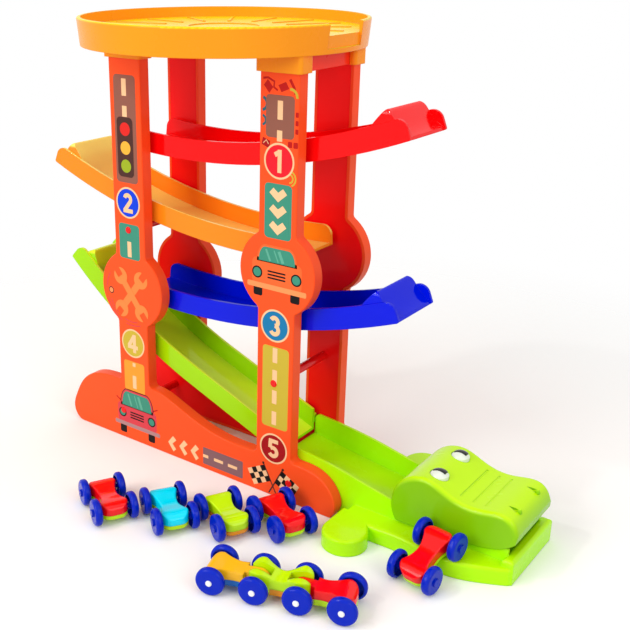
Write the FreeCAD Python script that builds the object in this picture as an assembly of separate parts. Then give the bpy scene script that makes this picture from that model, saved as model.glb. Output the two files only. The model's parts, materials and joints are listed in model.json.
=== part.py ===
import FreeCAD, Part
import math
import os

# A toddler's ramp tower with its little cars. Two side panels carry four curved ramps under a
# round tray, and the lowest ramp runs into a track that ends in a crocodile's mouth.
# Millimetres, +Z up. The pieces are built in tower coordinates: X runs along the ramps towards
# the head, Y from the front panel to the rear one, and both are 0 at the middle of the tower.

# The middle of the whole set, seen from the tower: it becomes the origin of every piece
set_middle_x = 52.18
set_middle_y = -32.95

# Side panels: a skinned shell each, closed on its inner side by a flat cover
tower_depth = 82.8
panel_thickness = 10.5
post_pitch = 151.6
post_width = 34.0
post_top = 356.0
disc_radius = 34.5
left_disc_height = 145.7
right_disc_height = 191.8
disc_blend = 4.0
panel_edge_radius = 1.2
panel_wall = 2.4
cover_thickness = 2.0
cover_ledge = 1.2
cover_gap = 0.12
boss_wall = 2.0

# Base of a panel: the outline's own points, in X and Z, clockwise from the left toe
base_left = ((-148.0, 0.0), (-154.6, 6.2), (-156.2, 13.5), (-152.9, 24.6), (-141.4, 43.8), (-128.5, 53.0), (-112.0, 56.6))
base_left_top = 57.0
base_swoosh_left = 57.4
base_swoosh = ((-28.3, 50.5), (-0.4, 40.1), (26.8, 34.7))
base_swoosh_right = 34.2
base_right_top = 35.3
base_right = ((109.0, 34.9), (122.5, 30.3), (131.8, 21.0), (135.6, 10.5), (131.8, 0.0))
base_blend = 4.0

# Tie rods between the panels, and where they cross them
rod_radius = 3.6
rod_end_radius = 3.0
rod_end_proud = 0.7
rod_gap = 0.1
rod_places = {
    "tie_rod_upper": (-76.8, 199.3),
    "tie_rod_middle": (75.3, 100.6),
    "tie_rod_base_left": (-90.7, 27.0),
    "tie_rod_base_right": (91.7, 16.5),
}

# Ramps: a floor between two walls, on an arc that starts level and climbs to a humped stop
ramp_radius = 545.0
ramp_width = 54.6
ramp_wall = 2.4
ramp_floor = 2.4
ramp_wall_height = 17.0
ramp_low_round = 8.0
ramp_high_round = 8.5
ramp_foot_round = 1.5
peg_radius = 2.5
peg_length = 5.0
peg_gap = 0.15
peg_height = 8.5
peg_shoulder_radius = 4.6
peg_shoulder_gap = 0.15

# Each arc ramp: the way it climbs, its underside at the low and the high post, and its two ends
arc_ramps = {
    "red_ramp": {"way": 1, "low": 265.9, "high": 273.6, "low_end": -91.0, "high_end": 174.0},
    "yellow_ramp": {"way": -1, "low": 198.8, "high": 209.9, "low_end": -82.5, "high_end": 178.0},
    "blue_ramp": {"way": 1, "low": 134.3, "high": 142.1, "low_end": -90.0, "high_end": 173.6},
}

# Hump that stops a car at the high end, along the ramp from its ridge, and up from the underside
hump_setback = 13.5
hump_outside = ((-25.0, 8.5), (-18.0, 14.2), (-12.9, 18.4), (-6.0, 22.4), (-2.2, 24.4),
                (0.0, 25.0), (2.2, 22.6), (4.0, 17.7), (6.4, 11.2), (9.0, 6.2))
hump_foot = -36.0
hump_inside = ((-17.5, 11.2), (-11.0, 16.2), (-5.4, 19.8), (-2.2, 21.6), (-0.4, 20.6), (1.2, 16.4), (3.4, 10.0))
hump_mouth = (-25.0, 5.8)
hump_round = 4.2

# Green ramp: straight at its low end, steeper than the others
green_radius = 430.0
green_slope = 21.3
green_bend = (22.5, 67.1)
green_low_end = -74.0
green_high_end = 163.0
green_wall_height = 18.5
green_peg_low = -64.6

# Track: carries on from the green ramp, down through the head
track_start = 70.9
track_start_gap = 0.4
track_side_gap = 0.4
track_floor_line = ((track_start, 27.5), (140.0, 17.4), (272.9, 9.8))
track_wall_line = ((track_start, 46.0), (106.0, 42.4), (134.0, 38.0), (158.0, 32.8), (182.0, 28.6), (272.9, 24.0))
track_start_round = 5.0
skirt_start = 97.0
track_peg_x = 82.0
track_peg_z = 35.0

# Base plate of the track, outlined like a crocodile lying flat, with two feet
plate_height = 13.0
plate_wall = 2.4
plate_edge_radius = 2.6
plate_front = 279.9
plate_front_half_width = 35.4
plate_side = ((147.0, 46.0), (171.2, 50.2), (194.4, 49.6), (216.0, 52.4), (237.8, 54.0), (261.0, 46.8), (277.6, 38.4))
foot_centre = (159.2, 64.4)
foot_radius = 17.5
foot_turn = 30.0
foot_root = 38.0
jaw_height = 18.5
jaw_depth = 9.0
jaw_half_width = 36.5
jaw_round = 3.2

# Head: a snap-on cover over the track, open at the rear, below and at the mouth
head_half_width = 33.0
head_wall = 2.3
head_top = ((182.2, 15.0), (178.5, 30.0), (187.0, 49.8), (206.6, 57.3), (227.3, 49.9), (246.8, 47.2),
            (268.0, 49.4), (278.9, 37.0))
head_lip_bottom = 30.4
head_lip = 278.0
head_jaw_line = ((278.0, 30.4), (266.0, 22.6), (244.0, 18.0), (212.0, 15.5), (182.2, 15.0))
head_edge_radius = 4.0
head_rear_arch = 47.0
head_rear_depth = 12.0
groove_places = (231.0, 240.8, 250.4)
groove_half_length = 23.5
groove_radius = 0.8
nostril_place = (268.6, 16.8)
nostril_length = 8.5
nostril_depth = 1.6
eye_place = (210.4, 17.7)
eye_radius = 7.0
eye_dome = 3.4
eye_seat = 1.2
eye_gap = 0.1
pupil_offset = -1.4
pupil_height = 0.7

# Tray on top, and its collars, which slip over the posts
tray_middle_x = -6.6
tray_radius = 113.2
tray_draft = 2.0
tray_bottom = 353.4
tray_top = 374.3
tray_floor_top = 365.8
tray_floor = 2.5
tray_wall = 3.2
tray_skirt = 4.6
tray_rim_round = 1.4
exit_half_width = 22.0
exit_recess = 5.0
exit_ledge = 3.6
collar_wall = 2.6
collar_gap = 0.25
post_seat_gap = 0.05
collar_bottom = 341.2
collar_round = 3.0
bay_count = 16
bay_inner_radius = 52.0
bay_outer_radius = 98.0
bay_width = 2.4
bay_height = 0.8
hub_ring_radius = 30.0

# Cross rails under the tray, from panel to panel
rail_width = 29.0
rail_height = 12.0
rail_wall = 2.4
rail_top = 353.0
rail_peg_spread = 14.0
rail_gap = 0.12
rail_edge_radius = 1.5

# Cars: an upper and a lower shell, and two wheels on each axle
wheel_radius = 10.7
wheel_width = 6.0
wheel_track = 29.2
wheel_rim = 1.9
wheel_rim_round = 2.4
wheel_web = 2.2
wheel_hub_radius = 3.3
wheel_bore_gap = 0.02
wheel_boss_radius = 3.1
wheel_boss = 1.2
wheel_cover = 1.0
wheelbase = 32.6
axle_radius = 1.5
axle_gap = 0.06
axle_end = 0.5
cap_radius = 2.3
cap_height = 1.1
body_half_width = 10.9
waist_half_width = 7.7
body_overhang = 6.6
body_bottom = 4.4
car_split = 8.2
link_split = 9.6
shell_gap = 0.1
shell_wall = 1.7
body_end_round = 8.0
body_top_round = 1.0
bearing_wall = 2.4
bearing_top = 13.0
bearing_gap = 0.2
slot_gap = 0.35

# Top line of a single car: the radius and the height of its rear and its front, and its waist
car_humps = ((7.6, 17.7), (7.4, 16.9))
car_waist_top = 15.2

# Links of the train: each hinge is an axle, with a tongue between two prongs
link_pitch = 31.4
link_end_hump = (7.6, 18.5)
link_prong_hump = (8.2, 21.9)
link_tongue_hump = (7.2, 17.4)
link_waist_top = 16.8
tongue_half_width = 4.0
prong_gap = 0.4
hinge_reach = 9.6
hinge_boss = 4.2

# Cars on the floor: where each stands, the way it faces in degrees, and its pitch
row_cars = {
    "red_car_one": (-14.3, -140.4, -28.4),
    "blue_car": (33.0, -120.9, -31.9),
    "lime_car": (73.3, -99.2, -27.7),
    "red_car_two": (108.1, -74.4, -24.4),
}
train_place = (158.3, -146.4, 17.6)
parked_car_x = 226.6
parked_car_y = -61.4
parked_car_heading = -97.2

# What follows from the sizes above
half_depth = tower_depth / 2
inner_face = half_depth - panel_thickness
post_x = post_pitch / 2
ramp_half_width = ramp_width / 2
track_half_width = inner_face - track_side_gap


def vec(x, z, y=0.0):
    return FreeCAD.Vector(x, y, z)


def line(a, b):
    return Part.makeLine(a, b)


def arc(a, b, c):
    return Part.Arc(a, b, c).toShape()


def spline(points, start=None, end=None):
    """Smooth curve through points, with a set direction at either end where one is given."""
    curve = Part.BSplineCurve()
    if start is None and end is None:
        curve.interpolate(points)
        return curve.toShape()
    reach = sum(b.distanceToPoint(a) for a, b in zip(points, points[1:]))
    knots = [0.0]
    for a, b in zip(points, points[1:]):
        knots.append(knots[-1] + b.distanceToPoint(a) / reach)
    tangents = [FreeCAD.Vector()] * len(points)
    flags = [False] * len(points)
    for place, way in ((0, start), (-1, end)):
        if way:
            tangents[place] = FreeCAD.Vector(way).normalize().multiply(reach)
            flags[place] = True
    curve.interpolate(Points=points, Parameters=knots, Tangents=tangents, TangentFlags=flags, Scale=False)
    return curve.toShape()


def face_of(edges):
    return Part.Face(Part.Wire(edges))


def inset(face, distance):
    """Face drawn in by a distance, with its free curves as plain splines again."""
    edges = []
    for edge in face.makeOffset2D(-distance).OuterWire.Edges:
        if edge.Curve.TypeId in ("Part::GeomLine", "Part::GeomCircle"):
            edges.append(edge)
        else:
            edges.append(spline(edge.discretize(Deflection=0.05)))
    return Part.Face(Part.Wire(Part.__sortEdges__(edges)))


def across(face, y_from, y_to):
    """Prism of a face that lies in the XZ plane, between two values of Y."""
    moved = face.copy()
    moved.translate(FreeCAD.Vector(0, y_from, 0))
    return moved.extrude(FreeCAD.Vector(0, y_to - y_from, 0))


def upright(face, z_from, z_to):
    """Prism of a face that lies in the XY plane, between two heights."""
    moved = face.copy()
    moved.translate(FreeCAD.Vector(0, 0, z_from))
    return moved.extrude(FreeCAD.Vector(0, 0, z_to - z_from))


def block(x_from, x_to, y_from, y_to, z_from, z_to):
    corner = FreeCAD.Vector(x_from, y_from, z_from)
    return Part.makeBox(x_to - x_from, y_to - y_from, z_to - z_from, corner)


def rod(radius, x, z, y_from, y_to):
    start = FreeCAD.Vector(x, y_from, z)
    return Part.makeCylinder(radius, y_to - y_from, start, FreeCAD.Vector(0, 1, 0))


def fuse(shapes):
    body = shapes[0]
    if len(shapes) > 1:
        body = body.multiFuse(shapes[1:])
    return body.removeSplitter()


def mirrored_y(shape):
    return shape.mirror(FreeCAD.Vector(0, 0, 0), FreeCAD.Vector(0, 1, 0))


def edges_across_at(shape, places, reach=0.6):
    """Edges that run along Y, through any of the given places in the XZ plane."""
    found = []
    for edge in shape.Edges:
        box = edge.BoundBox
        if box.XLength > 0.01 or box.ZLength > 0.01:
            continue
        middle = box.Center
        for x, z in places:
            if abs(middle.x - x) < reach and abs(middle.z - z) < reach:
                found.append(edge)
                break
    return found


# Side panels

def post_side(x, way, disc_height, z_foot, z_top):
    """One long side of a post from foot to top: straight, around the disc, straight again."""
    run = abs(x) - post_x
    centre_x = math.copysign(post_x, x)
    rise = math.sqrt((disc_radius + disc_blend) ** 2 - (post_width / 2 + disc_blend) ** 2)
    share = disc_radius / (disc_radius + disc_blend)
    edges = []
    corners = []
    for level in (-1, 1):
        hub = vec(x + way * disc_blend, disc_height + level * rise)
        on_post = vec(x, hub.z)
        on_disc = vec(centre_x + (hub.x - centre_x) * share, disc_height + level * rise * share)
        toward = FreeCAD.Vector(on_post).add(on_disc).multiply(0.5).sub(hub).normalize()
        middle = hub.add(toward.multiply(disc_blend))
        corners.append((on_post, middle, on_disc))
    low, high = corners
    edges.append(line(vec(x, z_foot), low[0]))
    edges.append(arc(*low))
    edges.append(arc(low[2], vec(centre_x + way * disc_radius, disc_height), high[2]))
    edges.append(arc(high[2], high[1], high[0]))
    edges.append(line(high[0], vec(x, z_top)))
    return edges


def blend_corner(x, z, way):
    """Quarter round between a post's side and the base beside it."""
    bend = base_blend * (1 - math.sqrt(0.5))
    return arc(vec(x, z + base_blend), vec(x + way * bend, z + bend), vec(x + way * base_blend, z))


def panel_face():
    """Outline of a panel: a swept foot and two posts, each with a disc."""
    half = post_width / 2
    level = vec(1, 0)
    outer_left, inner_left = -post_x - half, -post_x + half
    inner_right, outer_right = post_x - half, post_x + half
    blend = base_blend
    left = [vec(*p) for p in base_left] + [vec(outer_left - blend, base_left_top)]
    swoosh = [vec(inner_left + blend, base_swoosh_left)] + [vec(*p) for p in base_swoosh]
    swoosh.append(vec(inner_right - blend, base_swoosh_right))
    right = [vec(outer_right + blend, base_right_top)] + [vec(*p) for p in base_right]
    edges = [spline(left, end=level), blend_corner(outer_left, base_left_top, -1)]
    edges += post_side(outer_left, -1, left_disc_height, base_left_top + blend, post_top)
    edges.append(line(vec(outer_left, post_top), vec(inner_left, post_top)))
    edges += post_side(inner_left, 1, left_disc_height, base_swoosh_left + blend, post_top)
    edges += [blend_corner(inner_left, base_swoosh_left, 1), spline(swoosh, level, level)]
    edges.append(blend_corner(inner_right, base_swoosh_right, -1))
    edges += post_side(inner_right, -1, right_disc_height, base_swoosh_right + blend, post_top)
    edges.append(line(vec(inner_right, post_top), vec(outer_right, post_top)))
    edges += post_side(outer_right, 1, right_disc_height, base_right_top + blend, post_top)
    edges += [blend_corner(outer_right, base_right_top, 1), spline(right, start=level)]
    edges.append(line(right[-1], left[0]))
    return Part.Face(Part.Wire(Part.__sortEdges__(edges)))


def seat_places():
    """Every round seat in a panel: the pegs of ramps, track and rails."""
    places = []
    for name, ramp in arc_ramps.items():
        path = arc_path(ramp)
        for x in (-post_x, post_x):
            places.append(path_point(path, path_reach(path, x), peg_height))
    path = green_path()
    places.append(path_point(path, path_reach(path, green_peg_low), peg_height))
    places.append(path_point(path, path_reach(path, post_x), peg_height))
    places = [(point.x, point.z) for point in places]
    places.append((track_peg_x, track_peg_z))
    places += rail_peg_places()
    return places


def panel_shell():
    """Front panel's outer moulding, open on its inner side, with a boss at every seat."""
    front = -half_depth
    back = -inner_face
    cover_face_y = back - cover_thickness
    outline = panel_face()
    shell = across(outline, front, back)
    rim = []
    for edge in shell.Edges:
        box = edge.BoundBox
        level_end = box.ZLength < 0.01 and (box.ZMin < 0.01 or box.ZMax > post_top - 0.01)
        if abs(box.YMax - front) < 0.01 and not level_end:
            rim.append(edge)
    shell = shell.makeFillet(panel_edge_radius, rim)
    shell = shell.cut(across(inset(outline, panel_wall), cover_face_y, back + 1))
    shell = shell.cut(across(inset(outline, panel_wall + cover_ledge), front + panel_wall, cover_face_y + 1))
    bosses = []
    bores = []
    for x, z in seat_places():
        bosses.append(rod(peg_radius + peg_gap + boss_wall, x, z, front + panel_wall / 2, cover_face_y))
        bores.append(rod(peg_radius + peg_gap, x, z, front + panel_wall, back))
    for x, z in rod_places.values():
        bosses.append(rod(rod_end_radius + rod_gap + boss_wall, x, z, front + panel_wall / 2, cover_face_y))
        bores.append(rod(rod_end_radius + rod_gap, x, z, front - 1, back))
    shell = fuse([shell] + bosses)
    for bore in bores:
        shell = shell.cut(bore)
    return shell


def panel_cover():
    """Flat cover that closes the front panel's inner side, flush with its wall."""
    back = -inner_face
    cover = across(inset(panel_face(), panel_wall + cover_gap), back - cover_thickness + cover_gap, back)
    for x, z in seat_places():
        cover = cover.cut(rod(peg_radius + peg_gap, x, z, back - panel_thickness, back + 1))
    for x, z in rod_places.values():
        cover = cover.cut(rod(rod_end_radius + rod_gap, x, z, back - panel_thickness, back + 1))
    return cover


def tie_rod(place):
    """Rod that butts on the panels' inner faces, with a thinner end through each panel."""
    x, z = place
    middle = rod(rod_radius, x, z, -inner_face + rod_gap, inner_face - rod_gap)
    reach = half_depth + rod_end_proud
    ends = rod(rod_end_radius, x, z, -reach, reach)
    tips = [e for e in ends.Edges if e.Curve.TypeId == "Part::GeomCircle"]
    ends = ends.makeFillet(rod_end_proud * 0.9, tips)
    return fuse([middle, ends])


# Ramps

def arc_path(ramp):
    """Arc of a ramp's underside through its height at both posts, in its own climbing way."""
    chord = math.hypot(post_pitch, ramp["high"] - ramp["low"])
    tilt = math.atan2(ramp["high"] - ramp["low"], post_pitch)
    drop = math.sqrt(ramp_radius ** 2 - (chord / 2) ** 2)
    middle_z = (ramp["high"] + ramp["low"]) / 2
    centre_x = -math.sin(tilt) * drop
    centre_z = middle_z + math.cos(tilt) * drop
    low = math.asin((ramp["low_end"] - centre_x) / ramp_radius)
    high = math.asin((ramp["high_end"] - centre_x) / ramp_radius)
    return {"way": ramp["way"], "x": centre_x, "z": centre_z, "radius": ramp_radius,
            "low": low, "high": high, "straight": 0.0, "wall": ramp_wall_height}


def green_path():
    """Green ramp's underside: a straight run, then an arc that steepens to the high end."""
    slope = math.radians(green_slope)
    bend_x, bend_z = green_bend
    centre_x = bend_x - green_radius * math.sin(slope)
    centre_z = bend_z + green_radius * math.cos(slope)
    high = math.asin((green_high_end - centre_x) / green_radius)
    straight = (bend_x - green_low_end) / math.cos(slope)
    return {"way": -1, "x": centre_x, "z": centre_z, "radius": green_radius,
            "low": slope, "high": high, "straight": straight, "wall": green_wall_height}


def path_point(path, reach, height):
    """Point at a distance along the underside from the arc's start, and a height off it."""
    if reach >= 0:
        angle = path["low"] + reach / path["radius"]
        radius = path["radius"] - height
        x = path["x"] + radius * math.sin(angle)
        z = path["z"] - radius * math.cos(angle)
    else:
        angle = path["low"]
        radius = path["radius"] - height
        x = path["x"] + radius * math.sin(angle) + reach * math.cos(angle)
        z = path["z"] - radius * math.cos(angle) + reach * math.sin(angle)
    return vec(path["way"] * x, z)


def path_reach(path, x):
    """Distance along the underside at which it passes over a given X, in its climbing way."""
    start = path["x"] + path["radius"] * math.sin(path["low"])
    if x < start:
        return (x - start) / math.cos(path["low"])
    return (math.asin((x - path["x"]) / path["radius"]) - path["low"]) * path["radius"]


def path_length(path):
    return (path["high"] - path["low"]) * path["radius"]


def strip(path, height_from, height_to, reach_from, reach_to):
    """Face between two heights over the underside and two distances along it."""
    edges = []
    for height, forward in ((height_from, True), (height_to, False)):
        run = []
        arc_from = max(reach_from, 0.0)
        if reach_from < 0:
            run.append(line(path_point(path, reach_from, height), path_point(path, 0.0, height)))
        mid = path_point(path, (arc_from + reach_to) / 2, height)
        run.append(arc(path_point(path, arc_from, height), mid, path_point(path, reach_to, height)))
        edges += run if forward else run[::-1]
    low = line(path_point(path, reach_from, height_from), path_point(path, reach_from, height_to))
    high = line(path_point(path, reach_to, height_from), path_point(path, reach_to, height_to))
    return Part.Face(Part.Wire(Part.__sortEdges__(edges + [low, high])))


def ramp(path, peg_places):
    """Channel with rounded wall ends, a humped stop at its high end, and pegs in its sides."""
    start = -path["straight"]
    end = path_length(path)
    wall = across(strip(path, 0, path["wall"], start, end), -ramp_half_width, ramp_wall - ramp_half_width)
    low_top = path_point(path, start, path["wall"])
    high_top = path_point(path, end, path["wall"])
    low_foot = path_point(path, start, 0)
    high_foot = path_point(path, end, 0)
    wall = wall.makeFillet(ramp_low_round, edges_across_at(wall, [(low_top.x, low_top.z)]))
    wall = wall.makeFillet(ramp_high_round, edges_across_at(wall, [(high_top.x, high_top.z)]))
    feet = [(low_foot.x, low_foot.z), (high_foot.x, high_foot.z)]
    wall = wall.makeFillet(ramp_foot_round, edges_across_at(wall, feet))
    floor = across(strip(path, 0, ramp_floor, start + ramp_foot_round, end - ramp_foot_round),
                   -ramp_half_width + ramp_wall / 2, ramp_half_width - ramp_wall / 2)

    ridge = end - hump_setback
    outside = [(hump_foot, ramp_floor)] + list(hump_outside) + [(hump_setback - ramp_foot_round, ramp_floor)]
    top = spline([path_point(path, ridge + a, h) for a, h in outside])
    closing = line(path_point(path, ridge + outside[-1][0], ramp_floor),
                   path_point(path, ridge + outside[-1][0], ramp_floor / 2))
    under = line(closing.Vertexes[1].Point, path_point(path, ridge + hump_foot, ramp_floor / 2))
    rear = line(path_point(path, ridge + hump_foot, ramp_floor / 2), path_point(path, ridge + hump_foot, ramp_floor))
    half = ramp_half_width - ramp_wall * 0.75
    hump = across(Part.Face(Part.Wire([top, closing, under, rear])), -half, half)
    box = hump.BoundBox
    hood = block(box.XMin - 1, box.XMax + 1, -half, half, box.ZMin - 1, box.ZMax)
    crown = [e for e in hood.Edges if e.BoundBox.ZMin > box.ZMax - 0.01 and e.BoundBox.YLength < 0.01]
    hump = hump.common(hood.makeFillet(hump_round, crown))

    mouth_rear, mouth_front = [path_point(path, ridge + a, -1.0) for a in hump_mouth]
    roof = spline([mouth_rear] + [path_point(path, ridge + a, h) for a, h in hump_inside] + [mouth_front])
    hollow = across(Part.Face(Part.Wire([roof, line(mouth_front, mouth_rear)])),
                    -ramp_half_width + ramp_wall * 2, ramp_half_width - ramp_wall * 2)

    body = fuse([wall, mirrored_y(wall), floor, hump]).cut(hollow)
    pegs = []
    for x in peg_places:
        seat = path_point(path, path_reach(path, x), peg_height)
        for side in (-1, 1):
            inner = side * (ramp_half_width - ramp_wall / 2)
            shoulder = side * (inner_face - peg_shoulder_gap)
            outer = side * (inner_face + peg_length)
            pegs.append(rod(peg_radius, seat.x, seat.z, min(inner, outer), max(inner, outer)))
            pegs.append(rod(peg_shoulder_radius, seat.x, seat.z, min(inner, shoulder), max(inner, shoulder)))
    return fuse([body] + pegs)


def lowest_ramp():
    """Green ramp, cut off upright where the track takes over."""
    limit = track_start - track_start_gap
    body = ramp(green_path(), (green_peg_low, post_x))
    return body.cut(block(limit, limit + 30, -half_depth, half_depth, 0, post_top))


# Track, plate and head of the crocodile

def plate_faces(margin):
    """Plan of the plate and of its two feet, each drawn in by the same margin."""
    flank = [FreeCAD.Vector(x, -y, 0) for x, y in plate_side]
    other_flank = [FreeCAD.Vector(point.x, -point.y, 0) for point in flank]
    corner = FreeCAD.Vector(plate_front, -plate_front_half_width, 0)
    other_corner = FreeCAD.Vector(plate_front, plate_front_half_width, 0)
    plate = face_of([spline(flank), line(flank[-1], corner), line(corner, other_corner),
                     line(other_corner, other_flank[-1]), spline(other_flank[::-1]),
                     line(other_flank[0], flank[0])])
    x, y = foot_centre
    turn = math.radians(foot_turn)
    left = FreeCAD.Vector(x - foot_radius, -y, 0)
    end = FreeCAD.Vector(x, -y - foot_radius, 0)
    right = FreeCAD.Vector(x + foot_radius * math.cos(turn), -y + foot_radius * math.sin(turn), 0)
    run = (foot_root + right.y) / math.cos(turn)
    root_right = FreeCAD.Vector(right.x + run * math.sin(turn), -foot_root, 0)
    root_left = FreeCAD.Vector(left.x, -foot_root, 0)
    foot = face_of([line(root_left, left), Part.Arc(left, end, right).toShape(), line(right, root_right),
                    line(root_right, root_left)])
    faces = [plate, foot, mirrored_y(foot)]
    if margin:
        faces = [inset(face, margin) for face in faces]
    return faces


def track_profile(low_line, high_line, drop):
    """Side view between the floor line, lowered by a drop, and a line above it."""
    low = [vec(x, z - drop) for x, z in low_line]
    high = [vec(x, z) for x, z in high_line]
    floor = arc(*low) if len(low) == 3 else spline(low)
    top = spline(high)
    return Part.Face(Part.Wire(Part.__sortEdges__([floor, top, line(low[0], high[0]), line(low[-1], high[-1])])))


def croc_track():
    """Channel on side skirts, joined to the hollow plate that lies on the floor."""
    side = track_profile(track_floor_line, track_wall_line, ramp_floor)
    channel = across(side, -track_half_width, track_half_width)
    start_top = track_wall_line[0]
    channel = channel.makeFillet(track_start_round, edges_across_at(channel, [start_top]))

    floor_low = [vec(x, z - ramp_floor / 2) for x, z in track_floor_line]
    floor_arc = arc(*floor_low)
    track_end = track_floor_line[2][0]
    skirt_edges = [floor_arc, line(floor_low[2], vec(track_end, 0)),
                   line(vec(track_end, 0), vec(track_start, 0)), line(vec(track_start, 0), floor_low[0])]
    skirt_side = face_of(skirt_edges)
    keep = block(skirt_start, track_end + 1, -half_depth, half_depth, -1, 60)
    skirt = across(skirt_side, -track_half_width, -track_half_width + ramp_wall).common(keep)

    rounded = []
    for face in plate_faces(0):
        part = upright(face, 0, plate_height)
        rim = []
        for edge in part.Edges:
            box = edge.BoundBox
            if abs(box.ZMin - plate_height) < 0.01 and box.XMax > plate_side[0][0] + 1:
                rim.append(edge)
        rounded.append(part.makeFillet(plate_edge_radius, rim))
    plate = fuse(rounded)
    for face in plate_faces(plate_wall):
        plate = plate.cut(upright(face, -1, plate_height - plate_wall))

    jaw = block(plate_front - jaw_depth, plate_front, -jaw_half_width, jaw_half_width, 0, jaw_height)
    jaw_top = [e for e in jaw.Edges if e.BoundBox.ZMin > jaw_height - 0.01]
    jaw = jaw.makeFillet(jaw_round, jaw_top)

    body = fuse([channel, skirt, mirrored_y(skirt), plate])
    floor_top = [vec(x, z) for x, z in track_floor_line]
    before = vec(track_start - track_start_round, track_floor_line[0][1])
    top = track_wall_line[0][1] + track_start_round
    opening = face_of([line(before, floor_top[0]), arc(*floor_top), line(floor_top[2], vec(track_end, top)),
                       line(vec(track_end, top), vec(before.x, top)), line(vec(before.x, top), before)])
    inner = track_half_width - ramp_wall
    body = body.cut(across(opening, -inner, inner))

    pegs = [jaw]
    for side_way in (-1, 1):
        near = side_way * (track_half_width - ramp_wall / 2)
        far = side_way * (inner_face + peg_length)
        pegs.append(rod(peg_radius, track_peg_x, track_peg_z, min(near, far), max(near, far)))
    return fuse([body] + pegs)


def head_side():
    """Side view of the head, from the back over the brow and down the snout."""
    top = spline([vec(*p) for p in head_top])
    snout = line(vec(*head_top[-1]), vec(head_lip, head_lip_bottom))
    under = spline([vec(*p) for p in head_jaw_line])
    return Part.Face(Part.Wire([top, snout, under]))


def croc_head():
    """Hollow cover: rounded brow and snout, a rear arch for the cars and an open mouth."""
    side = head_side()
    head = across(side, -head_half_width, head_half_width)
    sides = [e for e in head.Edges if e.BoundBox.YLength < 0.01 and e.BoundBox.ZMax > head_rear_arch]
    head = head.makeFillet(head_edge_radius, sides)
    arch_half = head_half_width - head_wall
    roof = [edge for edge in inset(side, head_wall).Edges if edge.BoundBox.ZMax > head_top[-1][1]]
    ends = sorted((vertex.Point for edge in roof for vertex in edge.Vertexes), key=lambda point: point.x)
    rear, front = ends[0], ends[-1]
    sill = [line(front, vec(front.x, 0)), line(vec(front.x, 0), vec(rear.x, 0)), line(vec(rear.x, 0), rear)]
    hollow = Part.Face(Part.Wire(Part.__sortEdges__(roof + sill)))
    head = head.cut(across(hollow, -arch_half, arch_half))
    back = head_top[1][0]
    arch = block(back - 2, back + head_rear_depth, -arch_half, arch_half, 0, head_rear_arch)
    arch_top = [e for e in arch.Edges if e.BoundBox.ZMin > head_rear_arch - 0.01 and e.BoundBox.YLength < 0.01]
    head = head.cut(arch.makeFillet(6.0, arch_top))
    head = head.cut(block(head_lip - 9, head_lip + 4, -arch_half, arch_half, 0, head_lip_bottom))
    for x in groove_places:
        z = brow_height(x) + groove_radius * 0.35
        head = head.cut(rod(groove_radius, x, z, -groove_half_length, groove_half_length))
    x, y = eye_place
    for side_way in (-1, 1):
        head = head.cut(nostril(side_way))
        seat = Part.makeCylinder(eye_radius + eye_gap, 6, FreeCAD.Vector(x, side_way * y, eye_base()))
        head = head.cut(seat)
    return head


def brow_height(x):
    """Height of the head's top at a given X."""
    brow = spline([vec(*p) for p in head_top])
    cutter = line(vec(x, head_top[1][1]), vec(x, 100))
    return brow.distToShape(cutter)[1][0][0].z


def nostril(side_way):
    """Small wedge-shaped dent beside the tip of the snout."""
    x, y = nostril_place
    z = brow_height(x)
    half = nostril_length / 2
    corners = [FreeCAD.Vector(x - half, side_way * y, z + 1), FreeCAD.Vector(x + half, side_way * (y - 2.4), z + 1),
               FreeCAD.Vector(x + half * 0.5, side_way * (y + 2.6), z + 1)]
    base = Part.Face(Part.Wire([line(corners[i], corners[(i + 1) % 3]) for i in range(3)]))
    return base.extrude(FreeCAD.Vector(0, 0, -1 - nostril_depth))


def eye_base():
    x = eye_place[0]
    return min(brow_height(x - eye_radius), brow_height(x + eye_radius)) - eye_seat


def eye_dome_solid(x, y, radius, height, base):
    """Low dome on a short round foot."""
    ball_radius = (radius ** 2 + height ** 2) / (2 * height)
    foot_height = eye_top() - height - base
    ball = Part.makeSphere(ball_radius, FreeCAD.Vector(x, y, base + foot_height + height - ball_radius))
    column = Part.makeCylinder(radius, foot_height + height + 1, FreeCAD.Vector(x, y, base))
    return ball.common(column).fuse(Part.makeCylinder(radius, foot_height, FreeCAD.Vector(x, y, base))).removeSplitter()


def eye_top():
    return brow_height(eye_place[0]) + eye_dome


def eye_whites():
    x, y = eye_place
    return [eye_dome_solid(x, side * y, eye_radius, eye_dome, eye_base()) for side in (-1, 1)]


def eye_pupils():
    """Half-moons that lie on the domes, on the side away from the front panel."""
    x, y = eye_place
    pupils = []
    for side in (-1, 1):
        white = eye_whites()[0 if side < 0 else 1]
        larger = eye_dome_solid(x, side * y, eye_radius + pupil_height, eye_dome + pupil_height, eye_base())
        larger.translate(FreeCAD.Vector(0, 0, pupil_height))
        window = block(x - eye_radius * 0.7, x + eye_radius * 0.7, side * y + pupil_offset,
                       side * y + eye_radius * 0.86, eye_top() - eye_dome, eye_top() + 5)
        tall = [e for e in window.Edges if e.BoundBox.ZLength > 5 and e.BoundBox.YMin > side * y + pupil_offset + 0.5]
        window = window.makeFillet(3.6, tall)
        pupils.append(larger.common(window).cut(white))
    return pupils


# Tray, its collars and the cross rails

def post_box(side_x, side_y, grow, z_from, z_to):
    """Block about a post's section, grown on every side."""
    x = side_x * post_x
    y_out = side_y * (half_depth + grow)
    y_in = side_y * (inner_face - grow)
    half = post_width / 2 + grow
    return block(x - half, x + half, min(y_out, y_in), max(y_out, y_in), z_from, z_to)


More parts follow.
